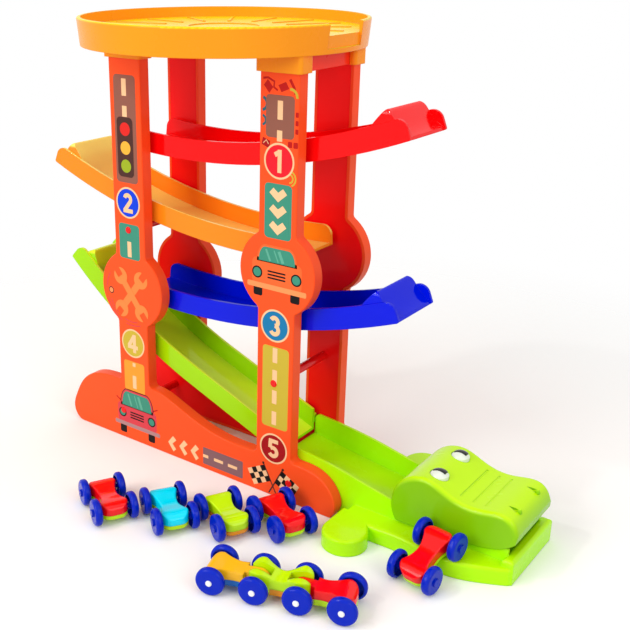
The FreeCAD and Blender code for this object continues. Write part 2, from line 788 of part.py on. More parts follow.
def top_tray():
    """Round tray: floor, rim and skirt, an exit on the right, and a collar for every post."""
    middle = FreeCAD.Vector(tray_middle_x, 0, tray_bottom)
    height = tray_top - tray_bottom
    outer = Part.makeCone(tray_radius - tray_draft, tray_radius, height, middle)
    top_rim = [e for e in outer.Edges if abs(e.BoundBox.ZMin - tray_top) < 0.01 and e.BoundBox.ZLength < 0.01]
    outer = outer.makeFillet(tray_rim_round, top_rim)
    inner_radius = tray_radius - tray_wall
    bowl = Part.makeCylinder(inner_radius, height, FreeCAD.Vector(tray_middle_x, 0, tray_floor_top))
    under_top = tray_floor_top - tray_floor
    skirt_radius = tray_radius - tray_draft - tray_skirt
    under = Part.makeCone(skirt_radius, skirt_radius + tray_draft / 2, under_top - tray_bottom, middle)
    tray = outer.cut(bowl).cut(under)

    exit_x = tray_middle_x + tray_radius
    gate = block(exit_x - 40, exit_x + 5, -exit_half_width, exit_half_width, tray_floor_top, tray_top + 5)
    recess = block(exit_x - exit_recess, exit_x + 5, -exit_half_width, exit_half_width,
                   tray_bottom + exit_ledge, tray_top + 5)
    backing = block(exit_x - exit_recess - tray_wall, exit_x - exit_recess, -exit_half_width - tray_wall,
                    exit_half_width + tray_wall, tray_bottom, tray_floor_top)
    backing = backing.common(Part.makeCylinder(inner_radius, height, middle))
    tray = tray.cut(gate).fuse(backing).cut(recess)

    marks = []
    for turn in range(bay_count):
        stripe = block(bay_inner_radius, bay_outer_radius, -bay_width / 2, bay_width / 2,
                       tray_floor_top - 0.3, tray_floor_top + bay_height)
        stripe.rotate(FreeCAD.Vector(0, 0, 0), FreeCAD.Vector(0, 0, 1), (turn + 0.5) * 360.0 / bay_count)
        stripe.translate(FreeCAD.Vector(tray_middle_x, 0, 0))
        marks.append(stripe)
    ring_at = FreeCAD.Vector(tray_middle_x, 0, tray_floor_top - 0.3)
    ring = Part.makeCylinder(hub_ring_radius, bay_height + 0.3, ring_at)
    marks.append(ring.cut(Part.makeCylinder(hub_ring_radius - bay_width, bay_height + 0.3, ring_at)))

    collars = []
    sockets = []
    for side_x in (-1, 1):
        for side_y in (-1, 1):
            sleeve = post_box(side_x, side_y, collar_gap + collar_wall, collar_bottom, under_top + 0.5)
            corners = [e for e in sleeve.Edges if e.BoundBox.ZLength > 5]
            collars.append(sleeve.makeFillet(collar_round, corners))
            sockets.append(post_box(side_x, side_y, collar_gap, collar_bottom - 1, post_top + post_seat_gap))
    tray = fuse([tray] + marks + collars)
    for socket in sockets:
        tray = tray.cut(socket)
    for side_x in (-1, 1):
        x = side_x * post_x
        half = rail_width / 2 + collar_gap
        tray = tray.cut(block(x - half, x + half, -inner_face, inner_face, collar_bottom - 1, rail_top + collar_gap))
    return tray


def rail_peg_places():
    z = rail_top - rail_height / 2
    half = rail_peg_spread / 2
    return [(side * post_x + way * half, z) for side in (-1, 1) for way in (-1, 1)]


def cross_rail(side_x):
    """Open-topped rail between the posts, pegged into both panels under the tray."""
    x = side_x * post_x
    half = rail_width / 2
    reach = inner_face - rail_gap
    rail = block(x - half, x + half, -reach, reach, rail_top - rail_height, rail_top)
    feet = [e for e in rail.Edges if e.BoundBox.YLength > 5 and e.BoundBox.ZMax < rail_top - 1]
    rail = rail.makeFillet(rail_edge_radius, feet)
    rail = rail.cut(block(x - half + rail_wall, x + half - rail_wall, -reach + rail_wall, reach - rail_wall,
                          rail_top - rail_height + rail_wall, rail_top + 1))
    pegs = []
    for peg_x, z in rail_peg_places():
        if abs(peg_x - x) < rail_width:
            for way in (-1, 1):
                near = way * (reach - rail_wall / 2)
                far = way * (inner_face + peg_length)
                pegs.append(rod(peg_radius, peg_x, z, min(near, far), max(near, far)))
    return fuse([rail] + pegs)


# Cars, built about the middle of their own wheelbase on the floor, facing +X

def wheel(side, at_x, capped):
    """Wheel with a rounded tyre rim, a web on the outside, a dished inner side and its bore."""
    half = wheel_width / 2
    radius = wheel_radius
    corner = wheel_rim_round
    inner = radius - wheel_rim
    step = corner * (1 - math.sqrt(0.5))
    bore = axle_radius + wheel_bore_gap

    def point(r, t):
        return FreeCAD.Vector(at_x + r, t, wheel_radius)

    inside = [point(bore, -half), point(wheel_hub_radius, -half), point(wheel_hub_radius, half - wheel_web),
              point(inner, half - wheel_web), point(inner, -half + corner * 0.5), point(radius - corner, -half)]
    if capped:
        outside = [point(radius - corner, half), point(bore, half), inside[0]]
    else:
        outside = [point(radius - corner, half), point(wheel_boss_radius, half),
                   point(wheel_boss_radius, half + wheel_boss), point(0, half + wheel_boss),
                   point(0, half - wheel_cover), point(bore, half - wheel_cover), inside[0]]
    tread = line(point(radius, -half + corner), point(radius, half - corner))
    edges = [line(a, b) for a, b in zip(inside, inside[1:])]
    edges.append(arc(inside[-1], point(radius - step, -half + step), tread.Vertexes[0].Point))
    edges.append(tread)
    edges.append(arc(tread.Vertexes[1].Point, point(radius - step, half - step), outside[0]))
    edges += [line(a, b) for a, b in zip(outside, outside[1:])]
    solid = face_of(edges).revolve(FreeCAD.Vector(at_x, 0, wheel_radius), FreeCAD.Vector(0, 1, 0), 360)
    if side < 0:
        solid = mirrored_y(solid)
    solid.translate(FreeCAD.Vector(0, side * wheel_track / 2, 0))
    return solid


def wheelset(at_x, capped=False):
    """An axle and the two wheels pressed on it, which turn together."""
    reach = wheel_track / 2 + wheel_width / 2 + (axle_end if capped else -wheel_cover - wheel_bore_gap)
    axle = rod(axle_radius, at_x, wheel_radius, -reach, reach)
    return Part.makeCompound([wheel(-1, at_x, capped), axle, wheel(1, at_x, capped)])


def hub_caps(at_x):
    """Small domed caps over the ends of an axle."""
    caps = []
    face = wheel_track / 2 + wheel_width / 2
    for side in (-1, 1):
        y_from = min(side * face, side * (face + cap_height))
        cap = rod(cap_radius, at_x, wheel_radius, y_from, y_from + cap_height)
        outer = [e for e in cap.Edges if abs(abs(e.BoundBox.Center.y) - face - cap_height) < 0.01]
        cap = cap.makeFillet(cap_height * 0.8, outer)
        end = rod(axle_radius, at_x, wheel_radius, -face - axle_end, face + axle_end)
        caps.append(cap.cut(end))
    return caps


def plan_face(rear, front, end_half, waist_half, rear_x, front_x):
    """Plan of a body between two round ends, drawn in at the waist."""
    middle = (rear + front) / 2
    reach = (front - rear) / 2
    round_off = min(body_end_round, end_half)

    def spot(x, y):
        return FreeCAD.Vector(x, y, 0)

    right = [spot(rear + 2.0, -end_half), spot(middle - reach * 0.35, -waist_half),
             spot(middle + reach * 0.35, -waist_half), spot(front - 2.0, -end_half)]
    side = spline(right)
    corner = round_off * (1 - math.sqrt(0.5))
    nose = [
        line(right[-1], spot(front_x - round_off, -end_half)),
        Part.Arc(spot(front_x - round_off, -end_half), spot(front_x - corner, -end_half + corner),
                 spot(front_x, -end_half + round_off)).toShape(),
        line(spot(front_x, -end_half + round_off), spot(front_x, 0)),
    ]
    tail = [
        line(right[0], spot(rear_x + round_off, -end_half)),
        Part.Arc(spot(rear_x + round_off, -end_half), spot(rear_x + corner, -end_half + corner),
                 spot(rear_x, -end_half + round_off)).toShape(),
        line(spot(rear_x, -end_half + round_off), spot(rear_x, 0)),
    ]
    half = [side] + nose + tail
    other = [edge.mirror(FreeCAD.Vector(0, 0, 0), FreeCAD.Vector(0, 1, 0)) for edge in half]
    return Part.Face(Part.Wire(Part.__sortEdges__(half + other)))


def side_block(rear, front, drop, humps, valley):
    """Everything under a body's waved top line, lowered by a drop."""
    bend = math.sqrt(0.5)
    level = vec(1, 0)
    ends = []
    for x, way, (radius, top) in ((rear, -1, humps[0]), (front, 1, humps[1])):
        hub = top - radius
        radius -= drop
        ends.append((vec(x, hub + radius), vec(x + way * radius * bend, hub + radius * bend),
                     vec(x + way * radius, hub), vec(x + way * 20.0, hub), vec(x + way * 20.0, 0)))
    back, nose = ends
    edges = [spline([back[0], vec((rear + front) / 2, valley - drop), nose[0]], level, level)]
    for end in ends:
        edges += [arc(end[0], end[1], end[2]), line(end[2], end[3]), line(end[3], end[4])]
    edges.append(line(back[4], nose[4]))
    return across(Part.Face(Part.Wire(Part.__sortEdges__(edges))), -30, 30)


def axle_slots(axles, z_from, z_to, half_y):
    """Slots that let axles pass the thin walls of a shell."""
    half = axle_radius + slot_gap
    return [block(x - half, x + half, -half_y, half_y, z_from, z_to) for x in axles]


def upper_shell(rear, front, rear_x, front_x, axles):
    """Coloured top of a body, waved along its length, with rounded upper edges, open below."""
    plan = plan_face(rear, front, body_half_width, waist_half_width, rear_x, front_x)
    shell = upright(plan, car_split + shell_gap / 2, 30).common(side_block(rear, front, 0, car_humps, car_waist_top))
    top = []
    for edge in shell.Edges:
        box = edge.BoundBox
        seam = box.XLength < 0.01 and rear_x + 1 < box.XMin < front_x - 1
        if box.ZMin > car_split + 0.5 and not seam:
            top.append(edge)
    shell = shell.makeFillet(body_top_round, top)
    hollow = upright(inset(plan, shell_wall), 0, 30)
    hollow = hollow.common(side_block(rear, front, shell_wall, car_humps, car_waist_top))
    shell = shell.cut(hollow)
    for slot in axle_slots(axles, 0, wheel_radius + axle_radius + slot_gap, 20):
        shell = shell.cut(slot)
    return shell


def lower_shell(rear, front, rear_x, front_x, axles, split=car_split):
    """Pan under a body, with a bearing block for each axle."""
    plan = plan_face(rear, front, body_half_width, waist_half_width, rear_x, front_x)
    pan = upright(plan, body_bottom, split - shell_gap / 2)
    bottom = [e for e in pan.Edges if e.BoundBox.ZMax < body_bottom + 0.01]
    pan = pan.makeFillet(1.2, bottom)
    pan = pan.cut(upright(inset(plan, shell_wall), body_bottom + shell_wall, 30))
    blocks = []
    inner_y = body_half_width - shell_wall - bearing_gap
    for x in axles:
        for side in (-1, 1):
            y_a = side * (inner_y - bearing_wall)
            y_b = side * inner_y
            blocks.append(block(x - 3.2, x + 3.2, min(y_a, y_b), max(y_a, y_b), body_bottom + 0.5, bearing_top))
    room = upright(inset(plan, shell_wall + bearing_gap), 0, bearing_top + 1)
    floor = upright(plan, body_bottom, body_bottom + shell_wall)
    pan = fuse([pan] + [part.common(room.fuse(floor)) for part in blocks])
    for slot in axle_slots(axles, wheel_radius - axle_radius - slot_gap, 30, 20):
        keep = block(slot.BoundBox.XMin - 1, slot.BoundBox.XMax + 1, -inner_y, inner_y, 0, 30)
        pan = pan.cut(slot.cut(keep))
    for x in axles:
        pan = pan.cut(rod(axle_radius + axle_gap, x, wheel_radius, -20, 20))
    return pan


def placed(shape, place, pitch=0.0, lift=0.0):
    """Copy of a car's piece, turned to its heading and moved to its place."""
    moved = shape.copy()
    x, y, heading = place
    if pitch:
        moved.rotate(FreeCAD.Vector(wheelbase / 2, 0, wheel_radius), FreeCAD.Vector(0, 1, 0), pitch)
    moved.rotate(FreeCAD.Vector(0, 0, 0), FreeCAD.Vector(0, 0, 1), heading)
    moved.translate(FreeCAD.Vector(x, y, lift))
    return moved


def single_car(name, place, pitch=0.0):
    """Four pieces of one car, keyed by their names."""
    half = wheelbase / 2
    ends = (-half, half, -half - body_overhang, half + body_overhang)
    pieces = {
        name + "_upper_shell": upper_shell(*ends, (-half, half)),
        name + "_lower_shell": lower_shell(*ends, (-half, half)),
        name + "_front_wheels": wheelset(half),
        name + "_rear_wheels": wheelset(-half),
    }
    return {key: placed(piece, place, pitch) for key, piece in pieces.items()}


def link_humps(rear, front, tongue_ends, prong_ends):
    """Radius and height of a link's top line at either end."""
    humps = []
    for x in (rear, front):
        if x in prong_ends:
            humps.append(link_prong_hump)
        elif x in tongue_ends:
            humps.append(link_tongue_hump)
        else:
            humps.append(link_end_hump)
    return humps


def link_upper(rear, front, tongue_ends, prong_ends):
    """Top of a train link. A tongue or a pair of prongs takes the place of an end at a hinge."""
    rear_x = rear - body_overhang
    front_x = front + body_overhang
    plan = plan_face(rear, front, body_half_width, waist_half_width, rear_x, front_x)
    low = wheel_radius - hinge_boss
    humps = link_humps(rear, front, tongue_ends, prong_ends)
    outside = side_block(rear, front, 0, humps, link_waist_top)
    body = upright(plan, link_split + shell_gap / 2, 30).common(outside)
    hollow = upright(inset(plan, shell_wall), 0, 30)
    hollow = hollow.common(side_block(rear, front, shell_wall, humps, link_waist_top))
    body = body.cut(hollow)
    hinges = tongue_ends + prong_ends
    cutters = []
    for x in hinges:
        away = 1 if x == front else -1
        edge = x - away * hinge_reach
        far = x + away * 20
        cutters.append(block(min(edge, far), max(edge, far), -20, 20, 0, 40))
    for cutter in cutters:
        body = body.cut(cutter)
    solid = upright(plan, low, 30).common(outside)
    extras = []
    for x in hinges:
        away = 1 if x == front else -1
        start = x - away * (hinge_reach + shell_wall)
        far = x + away * 20
        if x in tongue_ends:
            spans = [(-tongue_half_width, tongue_half_width)]
        else:
            inner = tongue_half_width + prong_gap
            spans = [(-20, -inner), (inner, 20)]
        for y_from, y_to in spans:
            part = solid.common(block(min(start, far), max(start, far), y_from, y_to, 0, 40))
            wall_x = x - away * hinge_reach
            under = block(min(start, wall_x), max(start, wall_x), -20, 20, 0, link_split + shell_gap / 2)
            extras.append(part.cut(under))
        wall = upright(plan, link_split + shell_gap / 2, 30).common(outside)
        extras.append(wall.common(block(min(start, x - away * hinge_reach), max(start, x - away * hinge_reach),
                                        -20, 20, 0, 40)))
    body = fuse([body] + extras)
    for x in (rear, front):
        if x in hinges:
            body = body.cut(rod(axle_radius + axle_gap, x, wheel_radius, -20, 20))
        else:
            for slot in axle_slots([x], 0, wheel_radius + axle_radius + slot_gap, 20):
                body = body.cut(slot)
    return body


def link_lower(rear, front, hinges):
    """Pan of a train link, stopping short of its hinges."""
    rear_x = rear - body_overhang
    front_x = front + body_overhang
    axles = [x for x in (rear, front) if x not in hinges]
    pan = lower_shell(rear, front, rear_x, front_x, axles, link_split)
    closers = []
    solid = lower_solid(rear, front, rear_x, front_x)
    for x in hinges:
        away = 1 if x == front else -1
        edge = x - away * hinge_reach
        inner = edge - away * shell_wall
        far = x + away * 20
        pan = pan.cut(block(min(edge, far), max(edge, far), -20, 20, 0, 40))
        closers.append(solid.common(block(min(inner, edge), max(inner, edge), -20, 20, 0, 40)))
    return fuse([pan] + closers)


def lower_solid(rear, front, rear_x, front_x):
    plan = plan_face(rear, front, body_half_width, waist_half_width, rear_x, front_x)
    pan = upright(plan, body_bottom, link_split - shell_gap / 2)
    bottom = [e for e in pan.Edges if e.BoundBox.ZMax < body_bottom + 0.01]
    return pan.makeFillet(1.2, bottom)


def train():
    """Three links on four axles: tongues at the ends of the outer links, prongs on the middle one."""
    axles = [(-1.5 + i) * link_pitch for i in range(4)]
    names = ("train_rear", "train_middle", "train_front")
    tongues = ([axles[1]], [], [axles[2]])
    prongs = ([], [axles[1], axles[2]], [])
    pieces = {}
    for i, name in enumerate(names):
        hinges = tongues[i] + prongs[i]
        pieces[name + "_upper_shell"] = link_upper(axles[i], axles[i + 1], tongues[i], prongs[i])
        pieces[name + "_lower_shell"] = link_lower(axles[i], axles[i + 1], hinges)
    for i, x in enumerate(axles):
        pieces["train_wheels_%d" % (i + 1)] = wheelset(x, capped=True)
        pieces["train_hub_caps_%d" % (i + 1)] = Part.makeCompound(hub_caps(x))
    return {key: placed(piece, train_place) for key, piece in pieces.items()}


def parked_car():
    """Car whose rear wheels stand on the plate and whose front wheels stand on the floor."""
    pitch = math.degrees(math.asin(plate_height / wheelbase))
    return single_car("parked_car", (parked_car_x, parked_car_y, parked_car_heading), pitch)


# Everything together

def all_pieces():
    pieces = {}
    shell = panel_shell()
    cover = panel_cover()
    pieces["front_panel"] = shell
    pieces["front_panel_cover"] = cover
    pieces["rear_panel"] = mirrored_y(shell)
    pieces["rear_panel_cover"] = mirrored_y(cover)
    for name, place in rod_places.items():
        pieces[name] = tie_rod(place)
    for name, sizes in arc_ramps.items():
        pieces[name] = ramp(arc_path(sizes), (-post_x, post_x))
    pieces["green_ramp"] = lowest_ramp()
    pieces["croc_track"] = croc_track()
    pieces["croc_head"] = croc_head()
    pieces["eye_whites"] = Part.makeCompound(eye_whites())
    pieces["eye_pupils"] = Part.makeCompound(eye_pupils())
    pieces["top_tray"] = top_tray()
    pieces["cross_rail_left"] = cross_rail(-1)
    pieces["cross_rail_right"] = cross_rail(1)
    for name, place in row_cars.items():
        pieces.update(single_car(name, place))
    pieces.update(parked_car())
    pieces.update(train())
    return pieces


os.makedirs("parts", exist_ok=True)
for name, shape in all_pieces().items():
    shape.translate(FreeCAD.Vector(-set_middle_x, -set_middle_y, 0))
    solids = len(shape.Solids)
    box = shape.BoundBox
    print("%-28s %d solid%s %8.1f mm3  %s  X %.1f..%.1f  Y %.1f..%.1f  Z %.1f..%.1f" % (
        name, solids, "s" if solids > 1 else " ", shape.Volume, "ok" if shape.isValid() else "INVALID",
        box.XMin, box.XMax, box.YMin, box.YMax, box.ZMin, box.ZMax))
    shape.exportStep("parts/" + name + ".step")
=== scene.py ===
import json
import math

import bmesh
import bpy
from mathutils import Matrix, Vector
from mathutils.bvhtree import BVHTree


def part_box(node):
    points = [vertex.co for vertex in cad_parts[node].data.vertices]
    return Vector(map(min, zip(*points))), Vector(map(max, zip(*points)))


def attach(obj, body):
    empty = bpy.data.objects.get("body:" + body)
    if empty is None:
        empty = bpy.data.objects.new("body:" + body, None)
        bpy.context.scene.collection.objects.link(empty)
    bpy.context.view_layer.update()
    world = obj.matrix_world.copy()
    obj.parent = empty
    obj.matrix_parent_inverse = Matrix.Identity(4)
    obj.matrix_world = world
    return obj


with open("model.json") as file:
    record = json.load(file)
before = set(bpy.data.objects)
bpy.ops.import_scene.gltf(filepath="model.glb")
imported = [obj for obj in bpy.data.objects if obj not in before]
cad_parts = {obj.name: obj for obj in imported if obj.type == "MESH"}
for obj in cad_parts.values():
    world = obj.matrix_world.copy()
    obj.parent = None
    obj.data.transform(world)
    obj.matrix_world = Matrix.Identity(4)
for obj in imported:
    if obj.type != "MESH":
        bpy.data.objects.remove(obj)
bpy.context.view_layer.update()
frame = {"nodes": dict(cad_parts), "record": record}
mm = 0.001
print("frame loaded")


# The prints are placed from the tower's middle and the front panel's outer face
def middleOf(nodes, axis):
    lows = [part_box(node)[0][axis] for node in nodes]
    highs = [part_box(node)[1][axis] for node in nodes]
    return (min(lows) + max(highs)) / 2


towerX = middleOf(["cross_rail_left", "cross_rail_right"], 0)
towerY = middleOf(["front_panel", "rear_panel"], 1)
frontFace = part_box("front_panel")[0].y


# Camera: the photograph's own place and lens, for a square picture. Place and clip are in metres,
# lens and sensor in millimetres.
cameraView = {
    "place": (0.42772, -0.58595, 0.4273),
    "azimuth": 37.995,
    "elevation": 20.243,
    "lens": 56.093,
    "sensor": 36,
    "shift": (0.1395, -0.01775),
    "clip": (0.01, 60),
}


def addCamera(view):
    data = bpy.data.cameras.new("rampCamera")
    data.sensor_width = view["sensor"]
    data.lens = view["lens"]
    data.shift_x, data.shift_y = view["shift"]
    data.clip_start, data.clip_end = view["clip"]
    camera = bpy.data.objects.new("rampCamera", data)
    camera.location = view["place"]
    camera.rotation_euler = (math.radians(90 - view["elevation"]), 0, math.radians(view["azimuth"]))
    bpy.context.scene.collection.objects.link(camera)
    bpy.context.scene.camera = camera


addCamera(cameraView)
print("camera placed")


# A screen colour, 0 to 255, in the linear values that shaders take
def linearColour(red, green, blue):
    def linear(value):
        value /= 255
        return value / 12.92 if value <= 0.04045 else ((value + 0.055) / 1.055) ** 2.4
    return (linear(red), linear(green), linear(blue), 1)


# A value stretched from one span onto another, and held at its ends
def mapped(nodes, links, value, span, result):
    node = nodes.new("ShaderNodeMapRange")
    links.new(value, node.inputs["Value"])
    for socket, limit in zip(("From Min", "From Max", "To Min", "To Max"), (*span, *result)):
        node.inputs[socket].default_value = limit
    return node.outputs["Result"]


def noisePattern(nodes, links, place, scale, detail):
    noise = nodes.new("ShaderNodeTexNoise")
    noise.inputs["Scale"].default_value = scale
    noise.inputs["Detail"].default_value = detail
    links.new(place.outputs["Object"], noise.inputs["Vector"])
    return noise.outputs["Fac"]


# Plastics: a colour that drifts a little, uneven gloss and faint orange peel, its height in millimetres
plasticSkin = {
    "noiseSpan": (0.3, 0.7),
    "driftScale": 14,
    "driftDetail": 3,
    "driftAmount": 0.03,
    "glossScale": 55,
    "glossDetail": 4,
    "glossDrift": 0.04,
    "glossiest": 0.03,
    "peelScale": 420,
    "peelDetail": 2,
    "peelStrength": 0.25,
    "peelHeight": 0.03,
    "edgeSamples": 6,
    "coatRoughness": 0.03,
    "refraction": 1.46,
    "shine": 0.14,
}


def mouldedPlastic(name, colour, roughness, wall=None, slope=(0.15, 0.85), coat=0.3, edge=0.5, peel=1.0):
    skin = plasticSkin
    material = bpy.data.materials.new(name)
    material.use_nodes = True
    nodes, links = material.node_tree.nodes, material.node_tree.links
    shader = nodes["Principled BSDF"]
    place = nodes.new("ShaderNodeTexCoord")

    # Painted shade: upright and downward faces take a second, deeper colour that stands in for the weaker
    # light on them, level faces the plain one
    lean = nodes.new("ShaderNodeSeparateXYZ")
    links.new(place.outputs["Normal"], lean.inputs["Vector"])
    shade = nodes.new("ShaderNodeMix")
    shade.data_type = "RGBA"
    shade.inputs["A"].default_value = linearColour(*(wall or colour))
    shade.inputs["B"].default_value = linearColour(*colour)
    links.new(mapped(nodes, links, lean.outputs["Z"], slope, (0, 1)), shade.inputs["Factor"])

    drift = noisePattern(nodes, links, place, skin["driftScale"], skin["driftDetail"])
    tones = (1 - skin["driftAmount"], 1 + skin["driftAmount"])
    tinted = nodes.new("ShaderNodeHueSaturation")
    links.new(shade.outputs["Result"], tinted.inputs["Color"])
    links.new(mapped(nodes, links, drift, skin["noiseSpan"], tones), tinted.inputs["Value"])
    links.new(tinted.outputs["Color"], shader.inputs["Base Color"])

    gloss = noisePattern(nodes, links, place, skin["glossScale"], skin["glossDetail"])
    rough = (max(roughness - skin["glossDrift"], skin["glossiest"]), roughness + skin["glossDrift"])
    links.new(mapped(nodes, links, gloss, skin["noiseSpan"], rough), shader.inputs["Roughness"])

    # Edges look rounded by their radius in millimetres
    rounded = nodes.new("ShaderNodeBevel")
    rounded.samples = skin["edgeSamples"]
    rounded.inputs["Radius"].default_value = edge * mm
    grain = noisePattern(nodes, links, place, skin["peelScale"], skin["peelDetail"])
    bump = nodes.new("ShaderNodeBump")
    bump.inputs["Strength"].default_value = skin["peelStrength"] * peel
    bump.inputs["Distance"].default_value = skin["peelHeight"] * mm
    links.new(grain, bump.inputs["Height"])
    links.new(rounded.outputs["Normal"], bump.inputs["Normal"])
    links.new(bump.outputs["Normal"], shader.inputs["Normal"])

    shader.inputs["Coat Weight"].default_value = coat
    shader.inputs["Coat Roughness"].default_value = skin["coatRoughness"]
    shader.inputs["IOR"].default_value = skin["refraction"]
    shader.inputs["Specular IOR Level"].default_value = skin["shine"]
    return material


# A plastic's second colour is painted shade for its upright and downward faces
plastics = {
    "panel_red": {"colour": (255, 84, 32), "roughness": 0.4, "coat": 0.05},
    # Painted shade: the panels' inner faces are the same plastic as the outer faces, given a deeper, darker
    # red for the shade on them
    "panel_inner": {"colour": (255, 14, 16), "roughness": 0.34, "coat": 0.05},
    "tray_amber": {"colour": (252, 216, 0), "wall": (255, 156, 26), "roughness": 0.28, "coat": 0.04,
                   "edge": 0.9},
    "rail_red": {"colour": (255, 56, 24), "roughness": 0.3, "coat": 0.1},
    "rod_red": {"colour": (235, 14, 14), "roughness": 0.22},
    "ramp_red": {"colour": (252, 4, 8), "roughness": 0.12, "coat": 0.12, "edge": 0.9},
    "ramp_yellow": {"colour": (255, 236, 112), "wall": (255, 142, 24), "slope": (0.05, 0.45),
                    "roughness": 0.12, "coat": 0.15, "edge": 0.9},
    "ramp_blue": {"colour": (0, 22, 220), "roughness": 0.1, "coat": 0.04, "edge": 0.9},
    "ramp_green": {"colour": (226, 255, 40), "wall": (164, 224, 2), "slope": (0.05, 0.45),
                   "roughness": 0.14, "coat": 0.15, "edge": 0.9},
    "track_green": {"colour": (190, 244, 2), "wall": (178, 246, 4), "roughness": 0.26, "coat": 0.15,
                    "edge": 1.0},
    "head_green": {"colour": (194, 240, 4), "wall": (134, 196, 6), "roughness": 0.24, "coat": 0.15,
                   "edge": 1.2},
    "eye_white": {"colour": (226, 232, 216), "roughness": 0.14, "coat": 0.5},
    "eye_black": {"colour": (10, 10, 12), "roughness": 0.16, "coat": 0.5},
    "wheel_blue": {"colour": (0, 36, 184), "roughness": 0.1, "coat": 0.05, "edge": 0.8},
    "hub_white": {"colour": (236, 238, 236), "roughness": 0.2},
    "car_red": {"colour": (250, 8, 12), "roughness": 0.12, "coat": 0.4, "edge": 2.0},
    "car_blue": {"colour": (0, 228, 255), "roughness": 0.12, "coat": 0.3, "edge": 2.0},
    "car_lime": {"colour": (200, 244, 2), "wall": (190, 238, 4), "roughness": 0.14, "coat": 0.35,
                 "edge": 2.0},
    "car_amber": {"colour": (238, 150, 20), "roughness": 0.16, "edge": 1.2},
    "car_yellow": {"colour": (255, 190, 24), "roughness": 0.16, "edge": 1.6},
    "car_deep_blue": {"colour": (0, 104, 190), "roughness": 0.14, "edge": 1.2},
}
finishes = {slot: mouldedPlastic("plastic_" + slot, **look) for slot, look in plastics.items()}


def giveFinish(node, slot):
    node.data.materials.clear()
    node.data.materials.append(finishes[slot])
    for polygon in node.data.polygons:
        polygon.material_index = 0


for part in frame["record"]["subparts"]:
    giveFinish(frame["nodes"][part["node"]], part["material_slot"])
print("plastics given to", len(frame["nodes"]), "pieces")


# Prints on the front panel: thin plates of ink, in millimetres from the tower's middle and the floor.
# A mark's level is the number of layers that it stands on, and below zero the mark is thinner.
inkPlate = {"layer": 0.07, "sunk": 0.04}
inkFinish = {"roughness": 0.42, "coat": 0.03, "edge": 0.02, "peel": 0.4}
inkColours = {
    "cream": (248, 200, 150),
    "road": (146, 92, 76),
    "slate": (134, 96, 100),
    "teal": (62, 144, 120),
    "blue": (16, 66, 220),
    "crimson": (236, 30, 46),
    "seaBlue": (20, 120, 170),
    "wine": (166, 18, 24),
    "olive": (204, 178, 56),
    "amber": (255, 156, 48),
    "apricot": (255, 136, 66),
    "peach": (255, 150, 88),
    "rose": (214, 66, 76),
    "brown": (76, 44, 38),
    "black": (16, 14, 14),
    "grey": (176, 132, 132),
    "lampRed": (226, 40, 34),
    "lampAmber": (250, 180, 60),
    "lampGreen": (156, 176, 36),
    "darkRed": (190, 22, 18),
    "petrol": (40, 100, 112),
    "bodyOrange": (250, 104, 48),
    "mint": (96, 172, 146),
}
inks = {name: mouldedPlastic("ink_" + name, colour, **inkFinish) for name, colour in inkColours.items()}


def bow(x, z, radius, start, end, steps=16):
    turns = [math.radians(start + (end - start) * i / steps) for i in range(steps + 1)]
    return [(x + radius * math.cos(turn), z + radius * math.sin(turn)) for turn in turns]


def roundedBox(left, right, bottom, top, corner, steps=6):
    outline = []
    corners = ((right - corner, top - corner), (left + corner, top - corner),
               (left + corner, bottom + corner), (right - corner, bottom + corner))
    for quarter, (x, z) in enumerate(corners):
        outline += bow(x, z, corner, 90 * quarter, 90 * quarter + 90, steps)
    return outline


def roundMark(x, z, radius, sides=60):
    return bow(x, z, radius, 0, 360, sides)[:-1]


def stroke(points, weight):
    ahead, behind = [], []
    for i, point in enumerate(points):
        before = Vector(points[max(i - 1, 0)])
        after = Vector(points[min(i + 1, len(points) - 1)])
        side = (after - before).normalized().orthogonal() * weight / 2
        ahead.append(tuple(Vector(point) + side))
        behind.append(tuple(Vector(point) - side))
    return ahead + behind[::-1]


def shifted(outline, x, z, turn=0.0):
    across, rise = math.cos(math.radians(turn)), math.sin(math.radians(turn))
    return [(x + px * across - pz * rise, z + px * rise + pz * across) for px, pz in outline]


# A mark repeated in a row: the piece's own mesh is set on each point of a line
def rowTree():
    tree = bpy.data.node_groups.new("rowOfMarks", "GeometryNodeTree")
    sockets = {}
    for label, kind in (("Mark", "NodeSocketGeometry"), ("Count", "NodeSocketInt"),
                        ("Step", "NodeSocketVector"), ("Ink", "NodeSocketMaterial")):
        sockets[label] = tree.interface.new_socket(label, in_out="INPUT", socket_type=kind).identifier
    tree.interface.new_socket("Row", in_out="OUTPUT", socket_type="NodeSocketGeometry")
    start, end = tree.nodes.new("NodeGroupInput"), tree.nodes.new("NodeGroupOutput")
    line = tree.nodes.new("GeometryNodeMeshLine")
    line.mode = "OFFSET"
    copies = tree.nodes.new("GeometryNodeInstanceOnPoints")
    solid = tree.nodes.new("GeometryNodeRealizeInstances")
    inked = tree.nodes.new("GeometryNodeSetMaterial")
    tree.links.new(start.outputs["Count"], line.inputs["Count"])
    tree.links.new(start.outputs["Step"], line.inputs["Offset"])
    tree.links.new(line.outputs["Mesh"], copies.inputs["Points"])
    tree.links.new(start.outputs["Mark"], copies.inputs["Instance"])
    tree.links.new(copies.outputs["Instances"], solid.inputs["Geometry"])
    tree.links.new(solid.outputs["Geometry"], inked.inputs["Geometry"])
    tree.links.new(start.outputs["Ink"], inked.inputs["Material"])
    tree.links.new(inked.outputs["Geometry"], end.inputs["Row"])
    return tree, sockets


rowNodes, rowSockets = rowTree()


